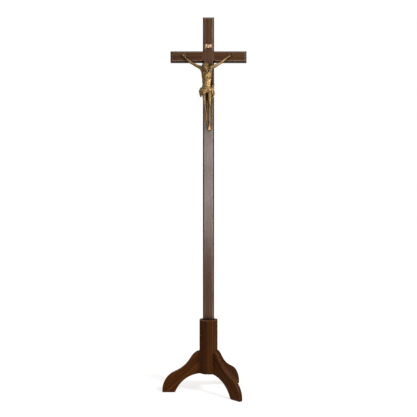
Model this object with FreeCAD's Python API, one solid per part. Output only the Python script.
import FreeCAD, Part
import math
import os

from FreeCAD import Vector

# Processional cross with its floor stand, as an assembly of separate solids.
#
# The cross is one long upright with a half-lapped crossbar, a cast figure and a title scroll.
# It lifts straight out of an octagonal socket sleeve that three curved legs carry.
#
# The frame, in millimetres: the origin is on the floor under the upright's axis, +Z is up,
# +X is to the right of a viewer who faces the figure, and the figure looks towards -Y.
# "Right" and "left" are the figure's own, so its right hand is at -X.

# Driving dimensions of the cross
TOTAL_HEIGHT = 2000.0
STAFF_WIDTH = 60.0
STAFF_DEPTH = 27.0
FRONT_BEVEL = 7.0
BACK_EASE = 2.0
HEAD_LENGTH = 181.0
BAR_LENGTH = 406.0
STAFF_FOOT_EASE = 3.0

# Driving dimensions of the stand
SLEEVE_ACROSS_FLATS = 96.0
SLEEVE_TOP = 388.0
SLEEVE_BOTTOM = 104.0
SLEEVE_EDGE = 2.0
SOCKET_GAP = 0.5
SOCKET_LEAD_IN = 2.5
PLUG_HEIGHT = 30.0
LEG_THICKNESS = 21.0
LEG_EDGE = 2.0
LEG_ANGLES = {"leg_left": 180.0, "leg_front_right": -48.0, "leg_back_right": 48.0}
LEG_REACH = 246.0
LEG_FOOT_INNER = 178.5
LEG_SHOULDER = 221.5
LEG_ARCH = 101.6
LEG_ROOT_DEPTH = 8.0
PAD_THICKNESS = 3.0
PAD_INSET = 1.5
DOWEL_RADIUS = 5.0
DOWEL_LENGTH = 40.0
DOWEL_IN_SLEEVE = 14.0
DOWEL_HEIGHTS = (128.0, 180.0)
GLUE_GAP = 0.05

# Driving dimensions of the metalwork
FIGURE_WALL = 2.5
FIGURE_BOSS_RADIUS = 7.0
ARM_PIN_RADIUS = 2.0
ARM_PIN_IN_TRUNK = 9.0
ARM_PIN_IN_ARM = 7.0
ARM_SEAT_DEPTH = 2.0
ARM_SEAT_RADIUS = 12.0
NAIL_RADIUS = 1.5
NAIL_HEAD_RADIUS = 3.5
NAIL_HEAD_HEIGHT = 1.6
NAIL_IN_WOOD = 12.0
SCROLL_WIDTH = 40.0
SCROLL_HEIGHT = 22.0
SCROLL_THICKNESS = 2.0
SCROLL_CENTRE_Z = 1845.0
SCROLL_PIN_SPREAD = 16.5
SCROLL_PIN_RADIUS = 0.8
SCROLL_PIN_HEAD_RADIUS = 1.7
SCROLL_PIN_IN_WOOD = 8.0
SCREW_RADIUS = 2.0
SCREW_HEAD_RADIUS = 4.0
SCREW_LENGTH = 20.0
SCREW_CLEARANCE = 0.25
SLOT_WIDTH = 1.0
SLOT_DEPTH = 0.8
PLUG_RADIUS = 5.0
PLUG_PROUD = 0.3
SCREW_PLUG_DEPTH = 4.0
LAP_SCREW_SPREAD = 17.0
FIGURE_SCREW_IN_BOSS = 12.0
FIGURE_SCREW_SEAT = 3.0
FIGURE_SCREW_HEAD = 2.6
CUT_OVERRUN = 1.0

# Derived places
FRONT = -STAFF_DEPTH / 2
BACK = STAFF_DEPTH / 2
BAR_TOP = TOTAL_HEIGHT - HEAD_LENGTH
BAR_BOTTOM = BAR_TOP - STAFF_WIDTH
BAR_MIDDLE = (BAR_TOP + BAR_BOTTOM) / 2
STAFF_FOOT = SLEEVE_BOTTOM + PLUG_HEIGHT
SLEEVE_APOTHEM = SLEEVE_ACROSS_FLATS / 2

# The figure's joints: x, y, z. It leans a little to its right (-X), its knees forward.
SHOULDER_RIGHT = Vector(-42.0, -35.0, 1726.0)
SHOULDER_LEFT = Vector(17.5, -35.0, 1727.0)
ELBOW_RIGHT = Vector(-92.0, -30.0, 1752.0)
ELBOW_LEFT = Vector(64.0, -30.0, 1751.0)
WRIST_RIGHT = Vector(-122.5, -22.5, 1780.5)
WRIST_LEFT = Vector(102.0, -22.5, 1783.5)
PALM_RIGHT = Vector(-129.0, -19.0, 1790.0)
PALM_LEFT = Vector(113.0, -19.0, 1792.0)
HIP_RIGHT = Vector(-24.0, -36.0, 1606.0)
HIP_LEFT = Vector(5.5, -36.0, 1606.0)
KNEE_RIGHT = Vector(-20.0, -72.5, 1531.0)
KNEE_LEFT = Vector(7.0, -75.5, 1532.0)
ANKLE_RIGHT = Vector(-6.5, -35.5, 1439.0)
ANKLE_LEFT = Vector(7.5, -46.5, 1439.0)
TOES_RIGHT = Vector(2.5, -30.0, 1400.0)
TOES_LEFT = Vector(3.5, -43.0, 1398.0)
HIP_RADIUS = 15.0
KNEE_RADIUS = 9.5
SHIN_RADIUS = 9.0
ANKLE_RADIUS = 5.5
INSTEP_RADIUS = 6.0
TOES_RADIUS = 5.0
SHOULDER_RADIUS = 10.0
ELBOW_RADII = (7.0, 7.5)
WRIST_RADIUS = 4.0
PALM_RADII = (4.5, 5.0)
FINGER_RADIUS = 3.0
NECK = Vector(-12.0, -40.0, 1722.0)
HEAD = Vector(-15.0, -56.5, 1725.5)
HEAD_RADIUS = 17.5
NECK_RADIUS = 9.0
BACK_SCREW_X = -8.0
BACK_SCREW_Z = 1615.0
FOOT_NAIL = Vector(3.0, -46.0, 1418.0)
NAIL_SEAT = 5.0
CHEST_TOP = (-9, -42, 1700, 29, 19)
CLOTH_HEM = 1562.0
CORE_WINDOW = (Vector(-22, -36, 1632), Vector(2, -10, 1690))


def box(low, high):
    """An axis-aligned block between two corners."""
    size = high - low
    return Part.makeBox(size.x, size.y, size.z, low)


def rod(start, end, radius):
    """A round rod between two points."""
    run = end - start
    return Part.makeCylinder(radius, run.Length, start, run)


def tapered_limb(start, start_radius, end, end_radius):
    """A rounded limb: a cone between two balls."""
    run = end - start
    if abs(start_radius - end_radius) < 0.01:
        core = Part.makeCylinder(start_radius, run.Length, start, run)
    else:
        core = Part.makeCone(start_radius, end_radius, run.Length, start, run)
    return core.fuse(Part.makeSphere(start_radius, start)).fuse(Part.makeSphere(end_radius, end))


def joined(shapes):
    """One clean solid from overlapping ones."""
    whole = shapes[0].fuse(shapes[1:]).removeSplitter()
    return max(whole.Solids, key=lambda solid: solid.Volume)


def oval_section(centre, half_width, half_depth):
    """A level oval wire, wider along X than along Y."""
    oval = Part.Ellipse(centre, half_width, half_depth)
    return Part.Wire([oval.toShape()])


def in_sleeve_plane(radius, height, angle):
    """The point at a radius and height in the vertical plane through the axis at an angle."""
    turn = math.radians(angle)
    return Vector(radius * math.cos(turn), radius * math.sin(turn), height)


# ---------------------------------------------------------------- the wooden cross
def cross_outline(inset, y):
    """The cross's front outline, moved inwards by inset, as a closed wire at depth y."""
    arm = BAR_LENGTH / 2 - inset
    side = STAFF_WIDTH / 2 - inset
    top = TOTAL_HEIGHT - inset
    bar_top = BAR_TOP - inset
    bar_bottom = BAR_BOTTOM + inset
    right = [
        (side, STAFF_FOOT),
        (side, bar_bottom),
        (arm, bar_bottom),
        (arm, bar_top),
        (side, bar_top),
        (side, top),
    ]
    left = [(-x, z) for x, z in reversed(right)]
    points = [Vector(x, y, z) for x, z in right + left]
    return Part.makePolygon(points + [points[0]])


def cross_blank():
    """Both boards as one shape, with the bevel that runs round the whole front outline."""
    shoulder = FRONT + FRONT_BEVEL
    back_step = BACK - BACK_EASE
    front = Part.makeLoft([cross_outline(FRONT_BEVEL, FRONT), cross_outline(0.0, shoulder)], True, True)
    core = Part.Face(cross_outline(0.0, shoulder)).extrude(Vector(0, back_step - shoulder, 0))
    rear = Part.makeLoft([cross_outline(0.0, back_step), cross_outline(BACK_EASE, BACK)], True, True)
    return front.fuse([core, rear]).removeSplitter()


def lap_screw_places():
    """The two lap screws stand on the crossing's diagonal, seen from the back."""
    return [Vector(side * LAP_SCREW_SPREAD, 0, BAR_MIDDLE + side * LAP_SCREW_SPREAD) for side in (-1, 1)]


def countersunk_head(place, seat):
    """The cone of a countersunk head whose top is at the depth seat."""
    depth = SCREW_HEAD_RADIUS - SCREW_RADIUS
    return Part.makeCone(
        SCREW_RADIUS, SCREW_HEAD_RADIUS, depth, place + Vector(0, seat - depth, 0), Vector(0, 1, 0)
    )


def lap_screw_hole(place):
    """Pilot, head seat and plug counterbore, drilled from the back."""
    seat = BACK - SCREW_PLUG_DEPTH
    outside = place + Vector(0, BACK + CUT_OVERRUN, 0)
    shank = rod(place + Vector(0, seat - SCREW_LENGTH, 0), outside, SCREW_RADIUS)
    plug = rod(place + Vector(0, seat, 0), outside, PLUG_RADIUS)
    return shank.fuse([countersunk_head(place, seat), plug])


def crossing_block(low_y, high_y):
    """The square where the boards cross, between two depths."""
    side = STAFF_WIDTH / 2
    return box(Vector(-side, low_y, BAR_BOTTOM), Vector(side, high_y, BAR_TOP))


def boards():
    """The upright keeps the front half of the crossing and the crossbar its back half."""
    blank = cross_blank()
    upright = blank.common(staff_column()).cut(crossing_block(0.0, BACK))
    beam = box(Vector(-BAR_LENGTH / 2, FRONT, BAR_BOTTOM), Vector(BAR_LENGTH / 2, BACK, BAR_TOP))
    crossbar = blank.common(beam).cut(crossing_block(FRONT, 0.0))
    for place in lap_screw_places():
        hole = lap_screw_hole(place)
        upright = upright.cut(hole)
        crossbar = crossbar.cut(hole)
    for palm in (PALM_RIGHT, PALM_LEFT):
        crossbar = crossbar.cut(nail_shank(palm, NAIL_RADIUS))
    upright = upright.cut(nail_shank(FOOT_NAIL, NAIL_RADIUS))
    for pin in scroll_pin_places():
        upright = upright.cut(scroll_pin_shank(pin))
    upright = upright.cut(back_screw_hole())
    return {"cross_upright": upright, "crossbar": crossbar}


def staff_loft(low_gap, low_z, high_gap, high_z):
    """A block on the upright's section, grown by one gap at its foot and another at its top."""
    wires = []
    for gap, z in ((low_gap, low_z), (high_gap, high_z)):
        half_x = STAFF_WIDTH / 2 + gap
        half_y = STAFF_DEPTH / 2 + gap
        corners = [(-half_x, -half_y), (half_x, -half_y), (half_x, half_y), (-half_x, half_y)]
        points = [Vector(x, y, z) for x, y in corners]
        wires.append(Part.makePolygon(points + [points[0]]))
    return Part.makeLoft(wires, True, True)


def staff_column():
    """The upright's bounding column, tapered at the foot so that it finds the socket."""
    shoulder = STAFF_FOOT + STAFF_FOOT_EASE
    taper = staff_loft(-STAFF_FOOT_EASE, STAFF_FOOT, 0.0, shoulder)
    straight = staff_loft(0.0, shoulder, 0.0, TOTAL_HEIGHT)
    return taper.fuse(straight).removeSplitter()


def driver_slot(face, half_length):
    """The slot across a screw head whose outer face is at a point."""
    half = Vector(half_length, 0, SLOT_WIDTH / 2)
    return box(face - half - Vector(0, SLOT_DEPTH, 0), face + half + Vector(0, CUT_OVERRUN, 0))


def lap_screws():
    """Countersunk wood screws that pull the half-lap together."""
    seat = BACK - SCREW_PLUG_DEPTH
    screws = []
    for place in lap_screw_places():
        face = place + Vector(0, seat, 0)
        under_head = face - Vector(0, SCREW_HEAD_RADIUS - SCREW_RADIUS, 0)
        shank = rod(face - Vector(0, SCREW_LENGTH, 0), under_head, SCREW_RADIUS)
        screw = joined([shank, countersunk_head(place, seat)])
        screws.append(screw.cut(driver_slot(face, SCREW_HEAD_RADIUS)))
    return Part.makeCompound(screws)


def lap_screw_plugs():
    """Wooden plugs that hide the lap screws."""
    inner = Vector(0, BACK - SCREW_PLUG_DEPTH, 0)
    outer = Vector(0, BACK + PLUG_PROUD, 0)
    return Part.makeCompound(
        [rod(place + inner, place + outer, PLUG_RADIUS - GLUE_GAP) for place in lap_screw_places()]
    )


# ---------------------------------------------------------------- the metalwork
def nail_shank(palm, radius):
    """The nail's round shank, from its head into the wood."""
    return rod(Vector(palm.x, FRONT + NAIL_IN_WOOD, palm.z), Vector(palm.x, palm.y - NAIL_SEAT, palm.z), radius)


def nail_room(palm):
    """What a nail takes out of the casting: its shank's hole and a flat seat for its head."""
    half = NAIL_HEAD_RADIUS + GLUE_GAP
    seat = palm.y - NAIL_SEAT
    in_front = seat - 2 * HEAD_RADIUS
    head = box(Vector(palm.x - half, in_front, palm.z - half), Vector(palm.x + half, seat, palm.z + half))
    return nail_shank(palm, NAIL_RADIUS).fuse(head)


def nail(palm):
    """A nail with a small four-sided forged head, driven along +Y."""
    seat = palm.y - NAIL_SEAT
    front = seat - NAIL_HEAD_HEIGHT
    half = Vector(NAIL_HEAD_RADIUS, 0, NAIL_HEAD_RADIUS)
    centre = Vector(palm.x, 0, palm.z)
    head = box(centre - half + Vector(0, front, 0), centre + half + Vector(0, seat, 0))
    front_edges = [edge for edge in head.Edges if abs(edge.BoundBox.YMax - front) < 0.01]
    forged_slope = NAIL_HEAD_HEIGHT * 0.6
    head = head.makeChamfer(forged_slope, front_edges)
    return joined([nail_shank(palm, NAIL_RADIUS - GLUE_GAP), head])


def scroll_pin_places():
    """The scroll's two pins, one at each end."""
    return [Vector(side * SCROLL_PIN_SPREAD, FRONT, SCROLL_CENTRE_Z) for side in (-1, 1)]


def scroll_pin_shank(pin, radius=SCROLL_PIN_RADIUS):
    """A scroll pin's shank, through the plate and into the wood."""
    return rod(pin + Vector(0, SCROLL_PIN_IN_WOOD, 0), pin - Vector(0, SCROLL_THICKNESS, 0), radius)


def scroll_edge(rises):
    """A waved edge of the scroll, from five heights at even steps from the left end to the right."""
    edge = Part.BSplineCurve()
    places = [SCROLL_WIDTH * (step / 4 - 0.5) for step in range(5)]
    edge.interpolate([Vector(x, FRONT, SCROLL_CENTRE_Z + rise) for x, rise in zip(places, rises)])
    return edge


def title_scroll():
    """A blank scroll plate with a waved top and bottom and flared ends."""
    rise = SCROLL_HEIGHT / 2
    top = scroll_edge([0.55 * rise, rise, 0.72 * rise, rise, 0.55 * rise])
    bottom = scroll_edge([-rise, -0.7 * rise, -0.9 * rise, -0.7 * rise, -rise])
    left_end = Part.makeLine(bottom.StartPoint, top.StartPoint)
    right_end = Part.makeLine(top.EndPoint, bottom.EndPoint)
    wire = Part.Wire([left_end, top.toShape(), right_end, bottom.toShape()])
    plate = Part.Face(wire).extrude(Vector(0, -SCROLL_THICKNESS, 0))
    for pin in scroll_pin_places():
        plate = plate.cut(scroll_pin_shank(pin))
    return plate


def title_pins():
    """Round-headed pins that hold the scroll to the upright."""
    pins = []
    for pin in scroll_pin_places():
        face = pin - Vector(0, SCROLL_THICKNESS, 0)
        around = Vector(SCROLL_WIDTH, 0, SCROLL_WIDTH)
        front_half = box(face - around - Vector(0, SCROLL_WIDTH, 0), face + around)
        dome = Part.makeSphere(SCROLL_PIN_HEAD_RADIUS, face).common(front_half)
        pins.append(joined([dome, scroll_pin_shank(pin, SCROLL_PIN_RADIUS - GLUE_GAP)]))
    return Part.makeCompound(pins)


def back_screw_hole():
    """The stepped hole through the upright for the screw that holds the figure."""
    axis = Vector(BACK_SCREW_X, 0, BACK_SCREW_Z)
    outside = axis + Vector(0, BACK + CUT_OVERRUN, 0)
    shank = rod(axis + Vector(0, FRONT - CUT_OVERRUN, 0), outside, SCREW_RADIUS + SCREW_CLEARANCE)
    head = rod(axis + Vector(0, BACK - FIGURE_SCREW_SEAT, 0), outside, SCREW_HEAD_RADIUS + SCREW_CLEARANCE)
    return shank.fuse(head)


def figure_screw():
    """A slotted machine screw, from the back of the upright into the figure's boss."""
    axis = Vector(BACK_SCREW_X, 0, BACK_SCREW_Z)
    seat = axis + Vector(0, BACK - FIGURE_SCREW_SEAT, 0)
    face = seat + Vector(0, FIGURE_SCREW_HEAD, 0)
    shank = rod(axis + Vector(0, FRONT - FIGURE_SCREW_IN_BOSS, 0), seat, SCREW_RADIUS)
    head = rod(seat, face, SCREW_HEAD_RADIUS)
    return joined([shank, head]).cut(driver_slot(face, SCREW_HEAD_RADIUS + CUT_OVERRUN))


def oval_loft(sections, wall):
    """A lofted volume through level ovals (x, y, z, half width, half depth), shrunk by wall."""
    wires = [oval_section(Vector(x, y, z), wide - wall, deep - wall) for x, y, z, wide, deep in sections]
    return Part.makeLoft(wires, True)


def trunk_and_cloth(wall):
    """The trunk and the wrapped cloth as two lofts, shrunk by wall."""
    trunk = oval_loft(
        [
            (-10, -37, 1588, 27, 20),
            (-9, -37, 1612, 26, 20),
            (-10, -40, 1640, 20, 17),
            (-10, -43, 1675, 26, 20),
            CHEST_TOP,
        ],
        wall,
    )
    cloth = oval_loft(
        [
            (-9, -50, CLOTH_HEM, 33, 25),
            (-9, -44, 1590, 37, 26),
            (-9, -40, 1618, 29, 22),
        ],
        wall,
    )
    return [trunk, cloth]


def thighs(wall):
    """Both thighs, shrunk by wall."""
    return [
        tapered_limb(hip, HIP_RADIUS - wall, knee, KNEE_RADIUS - wall)
        for hip, knee in ((HIP_RIGHT, KNEE_RIGHT), (HIP_LEFT, KNEE_LEFT))
    ]


def casting_core():
    """The hollow of the casting, with the window in the back through which it was cored."""
    hollow = joined(trunk_and_cloth(FIGURE_WALL) + thighs(FIGURE_WALL))
    clear_of_figure = 120.0
    low = Vector(-clear_of_figure, -clear_of_figure, KNEE_RIGHT.z - 2 * KNEE_RADIUS)
    room = box(low, Vector(clear_of_figure, 0, CHEST_TOP[2] - FIGURE_WALL))
    hem_wall = box(low, Vector(clear_of_figure, 0, CLOTH_HEM + FIGURE_WALL))
    window = box(*CORE_WINDOW)
    return hollow.common(room).cut(hem_wall).fuse([joined(thighs(FIGURE_WALL)), window])


def figure_body():
    """Head, trunk, cloth and legs as one hollow casting, kept to plain volumes."""
    shoulders = oval_loft([CHEST_TOP, (-10, -42, NECK.z + 2, 17, 13)], 0.0)
    limbs = [
        tapered_limb(KNEE_RIGHT, SHIN_RADIUS, ANKLE_RIGHT, ANKLE_RADIUS),
        tapered_limb(KNEE_LEFT, SHIN_RADIUS, ANKLE_LEFT, ANKLE_RADIUS),
        tapered_limb(ANKLE_RIGHT, INSTEP_RADIUS, TOES_RIGHT, TOES_RADIUS),
        tapered_limb(ANKLE_LEFT, INSTEP_RADIUS, TOES_LEFT, TOES_RADIUS),
    ]
    head = Part.makeSphere(HEAD_RADIUS, HEAD)
    neck = tapered_limb(NECK, NECK_RADIUS, HEAD, NECK_RADIUS)
    boss_back = Vector(BACK_SCREW_X, FRONT, BACK_SCREW_Z)
    boss_reach = Vector(0, HIP_RIGHT.y + 2 - FRONT, 0)
    boss = rod(boss_back, boss_back + boss_reach, FIGURE_BOSS_RADIUS)
    hollow_body = joined(trunk_and_cloth(0.0) + thighs(0.0)).cut(casting_core())
    body = joined([hollow_body, shoulders, head, neck, boss] + limbs)
    well_depth = FIGURE_SCREW_IN_BOSS + 0.5
    body = body.cut(rod(boss_back, boss_back - Vector(0, well_depth, 0), SCREW_RADIUS))
    body = body.cut(nail_room(FOOT_NAIL))
    for shoulder, elbow in ((SHOULDER_RIGHT, ELBOW_RIGHT), (SHOULDER_LEFT, ELBOW_LEFT)):
        body = body.cut(arm_socket(shoulder, elbow))
        body = body.cut(arm_pin_rod(shoulder, elbow, ARM_PIN_RADIUS))
    return max(body.Solids, key=lambda solid: solid.Volume)


def arm_socket(shoulder, elbow):
    """The flat-bottomed seat in the trunk where a separately cast arm is pinned."""
    outward = (elbow - shoulder).normalize()
    return rod(shoulder - outward * ARM_SEAT_DEPTH, elbow, ARM_SEAT_RADIUS)


def arm_pin_rod(shoulder, elbow, radius):
    """The place of the pin that holds an arm in its seat."""
    outward = (elbow - shoulder).normalize()
    return rod(shoulder - outward * ARM_PIN_IN_TRUNK, shoulder + outward * ARM_PIN_IN_ARM, radius)


def figure_arm(shoulder, elbow, wrist, palm):
    """One arm, from its flat root at the shoulder to the open hand."""
    outward = (elbow - shoulder).normalize()
    root = shoulder - outward * ARM_SEAT_DEPTH
    upper = Part.makeCone(SHOULDER_RADIUS, ELBOW_RADII[0], (elbow - shoulder).Length, root, elbow - shoulder)
    forearm = tapered_limb(elbow, ELBOW_RADII[1], wrist, WRIST_RADIUS)
    link = tapered_limb(wrist, WRIST_RADIUS, palm, PALM_RADII[0])
    reach = (palm - wrist) * 0.8
    fingers = palm + Vector(reach.x, 0, reach.z)
    hand = tapered_limb(palm, PALM_RADII[1], fingers, FINGER_RADIUS)
    arm = joined([upper, forearm, link, hand])
    arm = arm.cut(nail_room(palm))
    arm = arm.cut(arm_pin_rod(shoulder, elbow, ARM_PIN_RADIUS))
    return max(arm.Solids, key=lambda solid: solid.Volume)


def arm_pins():
    """Pins between the trunk and the separately cast arms."""
    radius = ARM_PIN_RADIUS - GLUE_GAP
    return Part.makeCompound(
        [
            arm_pin_rod(SHOULDER_RIGHT, ELBOW_RIGHT, radius),
            arm_pin_rod(SHOULDER_LEFT, ELBOW_LEFT, radius),
        ]
    )


# ---------------------------------------------------------------- the stand
def octagon(apothem, z):
    """A level octagon with flats on the four sides, as corner points."""
    corner = apothem / math.cos(math.pi / 8)
    turns = [math.pi / 8 + side * math.pi / 4 for side in range(8)]
    return [Vector(corner * math.cos(turn), corner * math.sin(turn), z) for turn in turns]


def octagon_loft(low_apothem, low_z, high_apothem, high_z):
    """A straight or tapered octagonal block."""
    wires = []
    for apothem, z in ((low_apothem, low_z), (high_apothem, high_z)):
        points = octagon(apothem, z)
        wires.append(Part.makePolygon(points + [points[0]]))
    return Part.makeLoft(wires, True, True)


def dowel_rod(angle, height, radius):
    """One leg dowel, square to the sleeve, as a round rod."""
    inner = SLEEVE_APOTHEM - DOWEL_IN_SLEEVE
    start = in_sleeve_plane(inner, height, angle)
    end = in_sleeve_plane(inner + DOWEL_LENGTH, height, angle)
    return rod(start, end, radius)


def all_dowels(radius):
    """Every leg dowel at a given radius."""
    return [dowel_rod(angle, height, radius) for angle in LEG_ANGLES.values() for height in DOWEL_HEIGHTS]


def sleeve():
    """The octagonal sleeve, glued up from two ploughed halves around the socket."""
    edge = SLEEVE_EDGE
    body = octagon_loft(SLEEVE_APOTHEM, SLEEVE_BOTTOM, SLEEVE_APOTHEM, SLEEVE_TOP - edge)
    crown = octagon_loft(SLEEVE_APOTHEM, SLEEVE_TOP - edge, SLEEVE_APOTHEM - edge, SLEEVE_TOP)
    socket = staff_loft(SOCKET_GAP, SLEEVE_BOTTOM, SOCKET_GAP, SLEEVE_TOP)
    mouth = staff_loft(SOCKET_GAP, SLEEVE_TOP - SOCKET_LEAD_IN, SOCKET_GAP + SOCKET_LEAD_IN, SLEEVE_TOP)
    whole = body.fuse(crown).cut(socket).cut(mouth)
    for hole in all_dowels(DOWEL_RADIUS):
        whole = whole.cut(hole)
    reach = SLEEVE_ACROSS_FLATS
    front = box(Vector(-reach, -reach, 0), Vector(reach, 0, TOTAL_HEIGHT))
    back = box(Vector(-reach, 0, 0), Vector(reach, reach, TOTAL_HEIGHT))
    return {
        "sleeve_front_half": whole.common(front).removeSplitter(),
        "sleeve_back_half": whole.common(back).removeSplitter(),
    }


def socket_floor():
    """The block glued into the foot of the socket, on which the upright stands."""
    gap = SOCKET_GAP - GLUE_GAP
    return staff_loft(gap, SLEEVE_BOTTOM, gap, STAFF_FOOT)


def leg_face():
    """A leg's outline in the XZ plane: shoulder, hollow, rounded toe, flat foot and arch."""
    root = SLEEVE_APOTHEM - LEG_ROOT_DEPTH
    back = [
        (root, LEG_SHOULDER),
        (62, 218),
        (78, 206.5),
        (95, 185),
        (122, 149.5),
        (160, 121),
        (203, 97.5),
        (231, 66),
        (243, 38),
        (LEG_REACH, PAD_THICKNESS),
    ]
    arch = [
        (LEG_FOOT_INNER - PAD_INSET, PAD_THICKNESS),
        (158.5, 36),
        (128.5, 68),
        (92, 89.3),
        (root, LEG_ARCH),
    ]
    curves = []
    for outline in (back, arch):
        curve = Part.BSplineCurve()
        curve.interpolate([Vector(x, 0, z) for x, z in outline])
        curves.append(curve)
    over, under = curves
    root_line = Part.makeLine(under.EndPoint, over.StartPoint)
    foot_line = Part.makeLine(over.EndPoint, under.StartPoint)
    return Part.Face(Part.Wire([root_line, over.toShape(), foot_line, under.toShape()]))


def leg(angle):
    """One flat leg board cut to the sleeve, its long arrises eased, drilled for its dowels."""
    board = leg_face().extrude(Vector(0, LEG_THICKNESS, 0))
    board.translate(Vector(0, -LEG_THICKNESS / 2, 0))
    sleeve_block = octagon_loft(SLEEVE_APOTHEM, 0.0, SLEEVE_APOTHEM, TOTAL_HEIGHT)
    sleeve_block.rotate(Vector(0, 0, 0), Vector(0, 0, 1), -angle)
    board = board.cut(sleeve_block)
    arrises = [edge for edge in board.Edges if edge.BoundBox.YLength < 0.01 and edge.BoundBox.XLength > 90.0]
    board = board.makeFillet(LEG_EDGE, [edge for edge in arrises if edge.BoundBox.ZLength > 50.0])
    board.rotate(Vector(0, 0, 0), Vector(0, 0, 1), angle)
    for height in DOWEL_HEIGHTS:
        board = board.cut(dowel_rod(angle, height, DOWEL_RADIUS))
    return board


def felt_pads():
    """Felt under each foot, a little inside the wood."""
    pads = []
    half = LEG_THICKNESS / 2 - PAD_INSET
    for angle in LEG_ANGLES.values():
        pad = box(
            Vector(LEG_FOOT_INNER + PAD_INSET, -half, 0),
            Vector(LEG_REACH - PAD_INSET, half, PAD_THICKNESS),
        )
        pad.rotate(Vector(0, 0, 0), Vector(0, 0, 1), angle)
        pads.append(pad)
    return Part.makeCompound(pads)


def all_nodes():
    """Every named piece of the assembly."""
    nodes = {}
    nodes.update(boards())
    nodes["lap_screws"] = lap_screws()
    nodes["lap_screw_plugs"] = lap_screw_plugs()
    nodes["title_scroll"] = title_scroll()
    nodes["title_pins"] = title_pins()
    nodes["corpus_body"] = figure_body()
    nodes["corpus_right_arm"] = figure_arm(SHOULDER_RIGHT, ELBOW_RIGHT, WRIST_RIGHT, PALM_RIGHT)
    nodes["corpus_left_arm"] = figure_arm(SHOULDER_LEFT, ELBOW_LEFT, WRIST_LEFT, PALM_LEFT)
    nodes["corpus_arm_pins"] = arm_pins()
    nodes["corpus_back_screw"] = figure_screw()
    nodes["hand_nails"] = Part.makeCompound([nail(PALM_RIGHT), nail(PALM_LEFT)])
    nodes["foot_nail"] = nail(FOOT_NAIL)
    nodes.update(sleeve())
    nodes["socket_floor_block"] = socket_floor()
    for name, angle in LEG_ANGLES.items():
        nodes[name] = leg(angle)
    nodes["leg_dowels"] = Part.makeCompound(all_dowels(DOWEL_RADIUS - GLUE_GAP))
    nodes["felt_pads"] = felt_pads()
    return nodes


os.makedirs("parts", exist_ok=True)
for node_name, shape in all_nodes().items():
    shape.exportStep(f"parts/{node_name}.step")
    print(f"{node_name}: {len(shape.Solids)} solid(s), {shape.Volume / 1000:.1f} cm3, valid {shape.isValid()}")
